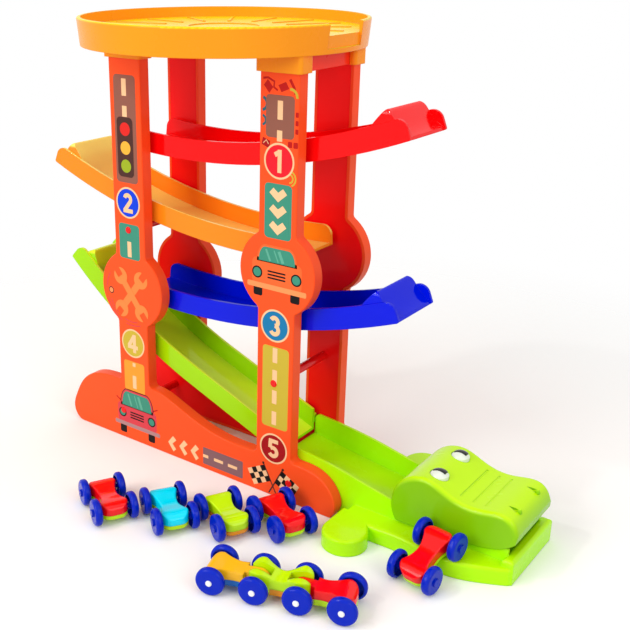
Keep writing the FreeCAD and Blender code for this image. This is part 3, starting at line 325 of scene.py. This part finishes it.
def repeatInRow(piece, ink, count, step):
    modifier = piece.modifiers.new("row", "NODES")
    modifier.node_group = rowNodes
    modifier[rowSockets["Count"]] = count
    modifier[rowSockets["Step"]] = (step[0] * mm, 0.0, step[1] * mm)
    modifier[rowSockets["Ink"]] = inks[ink]
    bpy.context.view_layer.update()
    whole = bpy.data.meshes.new_from_object(piece.evaluated_get(bpy.context.evaluated_depsgraph_get()))
    piece.modifiers.remove(modifier)
    piece.data = whole
    whole.name = piece.name


# Each mark is a closed plate, from a little inside the panel's face out to its own level
def printPiece(name, marks, row=None):
    mesh = bpy.data.meshes.new(name)
    build = bmesh.new()
    used = []
    for ink, level, outline in marks:
        if ink not in used:
            used.append(ink)
        back = frontFace + inkPlate["sunk"] * mm
        front = frontFace - inkPlate["layer"] * (level + 1) * mm
        behind = [build.verts.new((towerX + x * mm, back, z * mm)) for x, z in outline]
        ahead = [build.verts.new((towerX + x * mm, front, z * mm)) for x, z in outline]
        sides = [build.faces.new((behind[i], behind[i - 1], ahead[i - 1], ahead[i]))
                 for i in range(len(outline))]
        for face in [build.faces.new(ahead), build.faces.new(behind)] + sides:
            face.material_index = used.index(ink)
    bmesh.ops.recalc_face_normals(build, faces=build.faces)
    build.to_mesh(mesh)
    build.free()
    for ink in used:
        mesh.materials.append(inks[ink])
    piece = bpy.data.objects.new(name, mesh)
    bpy.context.scene.collection.objects.link(piece)
    if row:
        repeatInRow(piece, used[0], *row)
    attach(piece, "tower")


# Number discs: a cream ring, a coloured face and a digit, each of its strokes a little above the last
numberDisc = {"radius": 13.4, "ring": 1.5, "digitHeight": 17.0, "digitWeight": 3.5, "strokeLayer": 0.2}
numberPlaces = {
    "1": (76.6, 278.0, "crimson"),
    "2": (-76.1, 222.9, "blue"),
    "3": (75.6, 149.4, "seaBlue"),
    "4": (-76.0, 96.0, "olive"),
    "5": (76.2, 43.0, "wine"),
}

# Strokes of each digit, for a height of 1
digitStrokes = {
    "1": [[(0.03, 0.5), (0.03, -0.5)], [(0.03, 0.40), (-0.22, 0.26)]],
    "2": [bow(-0.01, 0.19, 0.20, 165, -38) + [(-0.22, -0.38)], [(-0.31, -0.40), (0.31, -0.40)]],
    "3": [bow(-0.02, 0.20, 0.19, 158, -82), bow(-0.02, -0.19, 0.21, 84, -156)],
    "4": [[(0.10, 0.5), (0.10, -0.5)], [(0.08, 0.42), (-0.28, -0.14)], [(-0.36, -0.20), (0.33, -0.20)]],
    "5": [[(-0.24, 0.40), (0.27, 0.40)], [(-0.16, 0.48), (-0.19, 0.02)], bow(-0.02, -0.17, 0.22, 132, -150)],
}


def digitMarks(digit, x, z):
    marks = []
    for order, line in enumerate(digitStrokes[digit]):
        points = [(x + px * numberDisc["digitHeight"], z + pz * numberDisc["digitHeight"]) for px, pz in line]
        level = 2 + numberDisc["strokeLayer"] * order
        marks.append(("cream", level, stroke(points, numberDisc["digitWeight"])))
    return marks


for digit, (x, z, ink) in numberPlaces.items():
    printPiece("number_disc_" + digit, [
        ("cream", 0, roundMark(x, z, numberDisc["radius"])),
        (ink, 1, roundMark(x, z, numberDisc["radius"] - numberDisc["ring"])),
    ] + digitMarks(digit, x, z))
print("number discs printed")


# Road strips with dashes
roadDash = {"corner": 0.3, "steps": 2}
roads = {
    "road_left_top": {"ink": "road", "box": (-87.8, -64.0, 240.0, 328.0), "corner": 3.5,
                      "dashes": [(-78.9, -73.9, 311.3, 325.0), (-78.9, -73.9, 294.5, 303.3)]},
    "road_left_middle": {"ink": "teal", "box": (-87.6, -64.4, 173.8, 204.6), "corner": 3.0,
                         "dashes": [(-78.4, -74.0, 175.6, 189.2)]},
    "road_left_low": {"ink": "amber", "box": (-87.8, -63.6, 49.0, 78.4), "corner": 2.5,
                      "dashes": [(-77.9, -73.6, 52.4, 64.9), (-77.4, -74.0, 73.8, 77.4)]},
    "road_base": {"ink": "slate", "box": (2.6, 45.4, 4.2, 20.2), "corner": 0.8,
                  "dashes": [(2.6, 8.4, 10.6, 13.4), (14.6, 24.4, 10.6, 13.4), (29.7, 39.5, 10.4, 13.2)]},
    "road_right_top": {"ink": "road", "box": (64.4, 89.2, 294.8, 325.4), "corner": 3.0,
                       "dashes": [(74.6, 79.2, 308.1, 321.6), (74.4, 79.0, 292.4, 300.4)]},
    "road_right_low": {"ink": "olive", "box": (64.4, 89.2, 62.0, 132.0), "corner": 3.0,
                       "dashes": [(74.0, 78.4, 118.6, 131.0), (74.0, 78.4, 100.8, 112.4),
                                  (74.0, 78.4, 83.2, 94.8), (74.0, 78.4, 64.6, 76.4)]},
}
for name, road in roads.items():
    marks = [(road["ink"], 0, roundedBox(*road["box"], road["corner"]))]
    for dash in road["dashes"]:
        marks.append(("cream", 1, roundedBox(*dash, **roadDash)))
    printPiece(name, marks)
print("roads printed")


# Arrow heads: three down the teal board, three pointing back along the base
boardArrow = [(-7.9, 0), (-4.3, 3.9), (0, 0.6), (4.3, 3.9), (7.9, 0), (0, -6.6)]
baseArrow = [(0, 0), (5.6, 7.4), (9.4, 4.4), (4.9, -0.2), (9.0, -4.6), (6.0, -7.6)]
arrows = {"board": (64.2, 88.6, 219.2, 261.2), "boardCorner": 3.5, "boardFirst": (76.4, 254.0),
          "boardStep": 12.6, "baseFirst": (-37.3, 11.9), "baseStep": 12.9, "count": 3}
printPiece("arrow_board", [("teal", 0, roundedBox(*arrows["board"], arrows["boardCorner"]))])
printPiece("board_arrows", [("cream", 1, shifted(boardArrow, *arrows["boardFirst"]))],
           row=(arrows["count"], (0, -arrows["boardStep"])))
printPiece("base_arrows", [("cream", 0, shifted(baseArrow, *arrows["baseFirst"]))],
           row=(arrows["count"], (arrows["baseStep"], 0)))


# Traffic light
signal = {"box": (-85.6, -68.0, 244.8, 294.2), "corner": 4.0, "lamp": 5.5, "lampX": -76.6,
          "lamps": {"lampRed": 284.4, "lampAmber": 269.0, "lampGreen": 254.0}}
printPiece("traffic_light", [("brown", 1, roundedBox(*signal["box"], signal["corner"]))] + [
    (ink, 2, roundMark(signal["lampX"], z, signal["lamp"])) for ink, z in signal["lamps"].items()])


# Ornament on the right post's upper part and round the left disc, each ink at its own level
leftDisc = (-76.2, 141.7)
discArcs = ((28.6, 148, 176), (25.4, 200, 232), (28.6, 196, 246), (25.4, 250, 284), (28.6, 256, 290))
lozenge = [(-4.2, 0.6), (-0.8, 4.8), (4.0, -0.4), (0.6, -4.8)]
ornamentLevels = {"darkRed": -0.6, "wine": -0.6, "petrol": -0.4, "olive": -0.2, "rose": 0, "cream": 1}
ornaments = {
    "ornament_right_post": {"row": None, "marks": [
        ("darkRed", shifted(lozenge, 66.4, 331.0)),
        ("darkRed", shifted(lozenge, 79.6, 331.4, 70)),
        ("darkRed", stroke([(61.6, 336.4), (66.0, 337.0), (71.4, 334.6), (71.0, 330.6), (74.4, 328.6)], 1.5)),
        ("darkRed", stroke([(84.8, 337.0), (88.4, 331.4), (89.6, 327.0)], 2.2)),
        ("petrol", stroke(bow(60.6, 318.4, 4.6, -82, 76), 2.2)),
        ("petrol", stroke(bow(60.8, 306.6, 3.4, -80, 80), 1.8)),
        ("olive", stroke(bow(85.6, 324.6, 5.6, -4, 96), 2.0)),
        ("olive", stroke(bow(85.8, 266.4, 3.2, -84, 84), 1.2)),
        ("olive", stroke(bow(85.8, 266.4, 5.6, -66, 66), 1.2)),
        ("wine", shifted(lozenge, 64.8, 290.4, 28)),
        ("cream", stroke([(62.4, 290.0), (65.0, 292.4), (67.0, 289.6)], 0.6)),
    ]},
    "ornament_bars": {"row": (3, (0, -6.0)), "marks": [
        ("darkRed", roundedBox(90.2, 92.6, 311.0, 314.6, 0.5)),
    ]},
    "ornament_blocks": {"row": (2, (4.8, 0)), "marks": [
        ("darkRed", roundedBox(84.0, 87.8, 288.8, 293.2, 0.8)),
    ]},
    "ornament_left_disc": {"row": None, "marks": [
        ("rose", stroke(bow(*leftDisc, radius, start, end), 0.8)) for radius, start, end in discArcs
    ]},
}
for name, ornament in ornaments.items():
    marks = [(ink, ornamentLevels[ink], outline) for ink, outline in ornament["marks"]]
    printPiece(name, marks, ornament["row"])
print("arrows, light and ornaments printed")


# Front views of two cars, each drawn about its own middle and the road under its tyres. A mirror's arm
# is given from the top of the body's side, a glint by its share of the cabin's width and its weight.
carDrawing = {
    "bodyOverlap": 3, "bodyCorner": 5.0, "tyreCorner": 1.6, "bumperCorner": 1.2, "roofSteps": 8,
    "mirror": ((-4, 4), (1.5, 7)), "mirrorWeight": 1.2, "outlineWeight": 0.9, "frameWeight": 1.8,
    "glassSeat": 0.4, "glints": ((-0.16, 1.8), (0.04, 1.0), (0.16, 2.6)), "glintFoot": 1.6, "glintHead": 3.6,
    "glintLean": 4.0, "lampRim": 0.7, "lampInset": 0.5,
    "grille": {"half": 8.3, "bottom": 1.9, "top": 3.2, "corner": 0.5, "count": 3, "step": 2.6},
}
drivenCars = {
    "print_car_rose": {
        "place": (-74.2, 4.6), "body": "rose", "outline": "brown", "glass": "teal", "bumper": "grey",
        "width": 47.0, "bonnet": 27.5, "roof": 44.2, "cabin": 39.0, "roofWidth": 23.0,
        "bumperWidth": 54.4, "bumperZ": 9.4, "bumperHeight": 3.8, "lamp": 3.8, "lampX": 17.6, "lampZ": 20.2,
        "tyreX": 17.2, "tyreWidth": 7.8, "tyreHeight": 8.0, "mirrors": True,
    },
    "print_car_orange": {
        "place": (76.2, 171.4), "body": "bodyOrange", "outline": None, "glass": "teal", "bumper": "peach",
        "width": 46.0, "bonnet": 28.0, "roof": 42.0, "cabin": 37.0, "roofWidth": 21.0,
        "bumperWidth": 54.6, "bumperZ": 8.6, "bumperHeight": 4.2, "lamp": 4.1, "lampX": 18.0, "lampZ": 18.8,
        "tyreX": 17.2, "tyreWidth": 8.4, "tyreHeight": 7.4, "mirrors": False,
    },
}


def cabinOutline(car, inset):
    # From the bonnet up one side, round the roof and down the other
    half = car["cabin"] / 2 - inset
    top = car["roof"] - inset
    roofHalf = car["roofWidth"] / 2
    base = car["bonnet"] + inset * carDrawing["glassSeat"]
    side = [(roofHalf + (half - roofHalf) * across, base + (top - base) * rise)
            for across, rise in bow(0, 0, 1, 0, 90, carDrawing["roofSteps"])]
    return side + [(-x, z) for x, z in reversed(side)]


def middleBox(x, z, width, height, corner):
    return roundedBox(x - width / 2, x + width / 2, z - height / 2, z + height / 2, corner)


def carMarks(car):
    half, bonnet = car["width"] / 2, car["bonnet"]
    marks = []
    for side in (-1, 1):
        tyre = middleBox(side * car["tyreX"], car["tyreHeight"] / 2, car["tyreWidth"], car["tyreHeight"],
                         carDrawing["tyreCorner"])
        marks.append(("black", 0, tyre))
        if car["mirrors"]:
            arm = [(side * (half + x), bonnet + z) for x, z in carDrawing["mirror"]]
            marks.append(("darkRed", 0, stroke(arm, carDrawing["mirrorWeight"])))
    if car["outline"]:
        marks.append((car["outline"], 0, cabinOutline(car, -carDrawing["outlineWeight"])))
    marks.append((car["body"], 1, cabinOutline(car, 0)))
    marks.append((car["body"], 1, roundedBox(-half, half, car["bumperZ"], bonnet + carDrawing["bodyOverlap"],
                                             carDrawing["bodyCorner"])))
    marks.append((car["glass"], 2, cabinOutline(car, carDrawing["frameWeight"])))
    for share, weight in carDrawing["glints"]:
        foot = (share * car["cabin"], bonnet + carDrawing["glintFoot"])
        head = (foot[0] - carDrawing["glintLean"], car["roof"] - carDrawing["glintHead"])
        marks.append(("mint", 3, stroke([foot, head], weight)))
    for side in (-1, 1):
        lamp = (side * car["lampX"], car["lampZ"])
        marks.append(("black", 2, roundMark(*lamp, car["lamp"] + carDrawing["lampRim"])))
        marks.append((car["glass"], 3, roundMark(*lamp, car["lamp"] - carDrawing["lampInset"])))
    marks.append((car["bumper"], 2, middleBox(0, car["bumperZ"], car["bumperWidth"], car["bumperHeight"],
                                              carDrawing["bumperCorner"])))
    return marks


for name, car in drivenCars.items():
    printPiece(name, [(ink, level, shifted(outline, *car["place"])) for ink, level, outline in carMarks(car)])
    grille = carDrawing["grille"]
    bar = roundedBox(-grille["half"], grille["half"], car["lampZ"] + grille["bottom"],
                     car["lampZ"] + grille["top"], grille["corner"])
    printPiece(name + "_grille", [("black", 2, shifted(bar, *car["place"]))],
               row=(grille["count"], (0, -grille["step"])))
print("cars printed")


# Crossed spanners and a nut on the left disc
spanner = {"place": leftDisc, "length": 47.0, "handle": 6.4, "handleCorner": 1.0, "head": 7.6,
           "headSeat": 0.6, "headSteps": 32, "jaw": 6.6, "jawFloor": 0.2, "jawSteps": 8, "turns": (52, 128),
           "nut": (-99.8, 141.2), "nutRadius": 3.1, "nutRing": 0.9, "nutSides": 24}


# A round head, open at its outer end
def spannerHead(settings):
    radius, jaw = settings["head"], settings["jaw"]
    opening = math.degrees(math.asin(jaw / 2 / radius))
    rim = bow(0, 0, radius, opening, 360 - opening, settings["headSteps"])
    return rim + bow(radius * settings["jawFloor"], 0, jaw / 2, -90, -270, settings["jawSteps"])


def crossedSpanners(settings):
    reach = settings["length"] / 2 - settings["head"] * settings["headSeat"]
    handle = middleBox(0, 0, 2 * reach, settings["handle"], settings["handleCorner"])
    head = shifted(spannerHead(settings), reach, 0)
    marks = []
    for order, turn in enumerate(settings["turns"]):
        marks.append(("apricot", 2 * order, shifted(handle, *settings["place"], turn)))
        for way in (0, 180):
            marks.append(("apricot", 2 * order + 1, shifted(head, *settings["place"], turn + way)))
    rings = (("brown", settings["nutRadius"]), ("peach", settings["nutRadius"] - settings["nutRing"]))
    for level, (ink, radius) in enumerate(rings):
        marks.append((ink, level, roundMark(*settings["nut"], radius, settings["nutSides"])))
    printPiece("crossed_spanners", marks)


crossedSpanners(spanner)
print("spanners printed")


# Two chequered flags with crossed poles
flag = {
    "columns": 4, "rows": 3, "width": 19.0, "height": 14.6, "clothDrop": 1.8,
    "pole": 1.1, "knob": 1.1, "knobSides": 16,
    "poles": {
        "flag_left": {"tip": (66.4, 27.0), "foot": (80.0, 1.6), "way": -1, "level": 0},
        "flag_right": {"tip": (86.0, 27.0), "foot": (72.6, 1.6), "way": 1, "level": 2},
    },
}


def chequeredFlag(name, pole):
    level = pole["level"]
    down = (Vector(pole["foot"]) - Vector(pole["tip"])).normalized()
    out = Vector((-down.y, down.x)) * pole["way"]
    marks = [("brown", level, stroke([pole["tip"], pole["foot"]], flag["pole"])),
             ("brown", level, roundMark(*pole["tip"], flag["knob"], flag["knobSides"]))]
    corner = Vector(pole["tip"]) + down * flag["clothDrop"]
    along = out * flag["width"] / flag["columns"]
    fall = down * flag["height"] / flag["rows"]
    for row in range(flag["rows"]):
        for column in range(flag["columns"]):
            start = corner + fall * row + along * column
            square = [start, start + along, start + along + fall, start + fall]
            ink = "black" if (row + column) % 2 == 0 else "cream"
            marks.append((ink, level, [tuple(point) for point in square]))
    printPiece(name, marks)


for name, pole in flag["poles"].items():
    chequeredFlag(name, pole)
print("flags printed")


# Raised lips at the front of the nostrils, seated on the head's own surface
nostrilLip = {"place": (272.4, 16.8), "length": 2.3, "width": 1.4, "height": 3.4, "fullness": 1.4,
              "lean": 0.7, "sunk": 0.6, "sides": 28, "rings": 7, "above": 1000}


def nostrilLips(settings):
    head = frame["nodes"]["croc_head"]
    build = bmesh.new()
    build.from_mesh(head.data)
    build.transform(head.matrix_world)
    surface = BVHTree.FromBMesh(build)
    build.free()
    mesh = bpy.data.meshes.new("nostril_lips")
    lips = bmesh.new()
    for side in (-1, 1):
        x = towerX + settings["place"][0] * mm
        y = towerY + side * settings["place"][1] * mm
        hit = surface.ray_cast(Vector((x, y, settings["above"] * mm)), Vector((0, 0, -1)))[0]
        foot = hit.z - settings["sunk"] * mm
        rise = settings["height"] + settings["sunk"]
        # The rings narrow from foot to tip and lean towards the snout's end
        rings = []
        for level in range(settings["rings"]):
            share = level / settings["rings"]
            spread = math.sqrt(1 - share ** settings["fullness"])
            rings.append([lips.verts.new((
                x + (settings["length"] * across + settings["lean"] * share) * mm,
                y + settings["width"] * aside * mm,
                foot + rise * share * mm)) for across, aside in roundMark(0, 0, spread, settings["sides"])])
        tip = lips.verts.new((x + settings["lean"] * mm, y, foot + rise * mm))
        for low, high in zip(rings, rings[1:]):
            for i in range(settings["sides"]):
                lips.faces.new((low[i - 1], low[i], high[i], high[i - 1]))
        for i in range(settings["sides"]):
            lips.faces.new((rings[-1][i - 1], rings[-1][i], tip))
        lips.faces.new(rings[0][::-1])
    bmesh.ops.recalc_face_normals(lips, faces=lips.faces)
    for face in lips.faces:
        face.smooth = True
    lips.to_mesh(mesh)
    lips.free()
    mesh.materials.append(finishes["head_green"])
    piece = bpy.data.objects.new("nostril_lips", mesh)
    bpy.context.scene.collection.objects.link(piece)
    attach(piece, "tower")


nostrilLips(nostrilLip)
print("nostrils shaped")


# Light studio, in metres: a pale floor that fades into bright surroundings, three soft lamps and a small
# one for glints
studio = {
    "floor": (255, 253, 249),
    "bounce": (238, 234, 230),
    "floorHalf": 4,
    "floorDrop": 0.0003,
    "floorFade": (0.27, 0.72),
    "surroundings": 0.68,
    "seenSurroundings": 1.0,
    "aim": (0.0, 0.0, 0.12),
    "lamps": {
        "keyLamp": {"place": (-0.6, -1.9, 1.2), "size": 1.2, "power": 22.5},
        "sideLamp": {"place": (1.8, -0.6, 1.3), "size": 1.2, "power": 10},
        "topLamp": {"place": (0.1, 0.2, 2.2), "size": 1.8, "power": 6},
        "glintLamp": {"place": (-1.0, -1.3, 2.0), "size": 0.12, "power": 6},
    },
}


# One for what is seen, straight, mirrored or through plastic, and zero for light that only bounces
def frontRays(nodes, links):
    path = nodes.new("ShaderNodeLightPath")
    rays = path.outputs["Is Camera Ray"]
    for name in ("Is Glossy Ray", "Is Transmission Ray"):
        either = nodes.new("ShaderNodeMath")
        either.operation = "MAXIMUM"
        links.new(rays, either.inputs[0])
        links.new(path.outputs[name], either.inputs[1])
        rays = either.outputs["Value"]
    return rays


def mixedShaders(nodes, links, factor, first, second):
    mixed = nodes.new("ShaderNodeMixShader")
    links.new(factor, mixed.inputs["Fac"])
    links.new(first, mixed.inputs[1])
    links.new(second, mixed.inputs[2])
    return mixed.outputs["Shader"]


# The floor shows one tone and bounces another, and fades out away from its middle
def floorPaper(settings):
    material = bpy.data.materials.new("floorPaper")
    material.use_nodes = True
    nodes, links = material.node_tree.nodes, material.node_tree.links
    nodes.remove(nodes["Principled BSDF"])
    papers = []
    for tone in ("bounce", "floor"):
        paper = nodes.new("ShaderNodeBsdfDiffuse")
        paper.inputs["Color"].default_value = linearColour(*settings[tone])
        papers.append(paper.outputs["BSDF"])
    seen = mixedShaders(nodes, links, frontRays(nodes, links), *papers)
    place = nodes.new("ShaderNodeTexCoord")
    reach = nodes.new("ShaderNodeVectorMath")
    reach.operation = "LENGTH"
    links.new(place.outputs["Object"], reach.inputs[0])
    fade = mapped(nodes, links, reach.outputs["Value"], settings["floorFade"], (0, 1))
    clear = nodes.new("ShaderNodeBsdfTransparent")
    whole = mixedShaders(nodes, links, fade, seen, clear.outputs["BSDF"])
    links.new(whole, nodes["Material Output"].inputs["Surface"])
    return material


def addStudio(settings):
    mesh = bpy.data.meshes.new("studioFloor")
    half = settings["floorHalf"]
    corners = [(-half, -half, 0), (half, -half, 0), (half, half, 0), (-half, half, 0)]
    mesh.from_pydata(corners, [], [(0, 1, 2, 3)])
    mesh.materials.append(floorPaper(settings))
    floor = bpy.data.objects.new("studioFloor", mesh)
    floor.location.z = -settings["floorDrop"]
    bpy.context.scene.collection.objects.link(floor)

    world = bpy.data.worlds.new("paleRoom")
    bpy.context.scene.world = world
    world.use_nodes = True
    nodes, links = world.node_tree.nodes, world.node_tree.links
    rooms = []
    for strength in (settings["surroundings"], settings["seenSurroundings"]):
        room = nodes.new("ShaderNodeBackground")
        room.inputs["Color"].default_value = (1, 1, 1, 1)
        room.inputs["Strength"].default_value = strength
        rooms.append(room.outputs["Background"])
    room = mixedShaders(nodes, links, frontRays(nodes, links), *rooms)
    links.new(room, nodes["World Output"].inputs["Surface"])

    for name, lamp in settings["lamps"].items():
        data = bpy.data.lights.new(name, "AREA")
        data.size = lamp["size"]
        data.energy = lamp["power"]
        light = bpy.data.objects.new(name, data)
        light.location = lamp["place"]
        aim = Vector(settings["aim"]) - Vector(lamp["place"])
        light.rotation_euler = aim.to_track_quat("-Z", "Y").to_euler()
        bpy.context.scene.collection.objects.link(light)


addStudio(studio)
bpy.context.scene.view_settings.view_transform = "Standard"
print("studio lit")
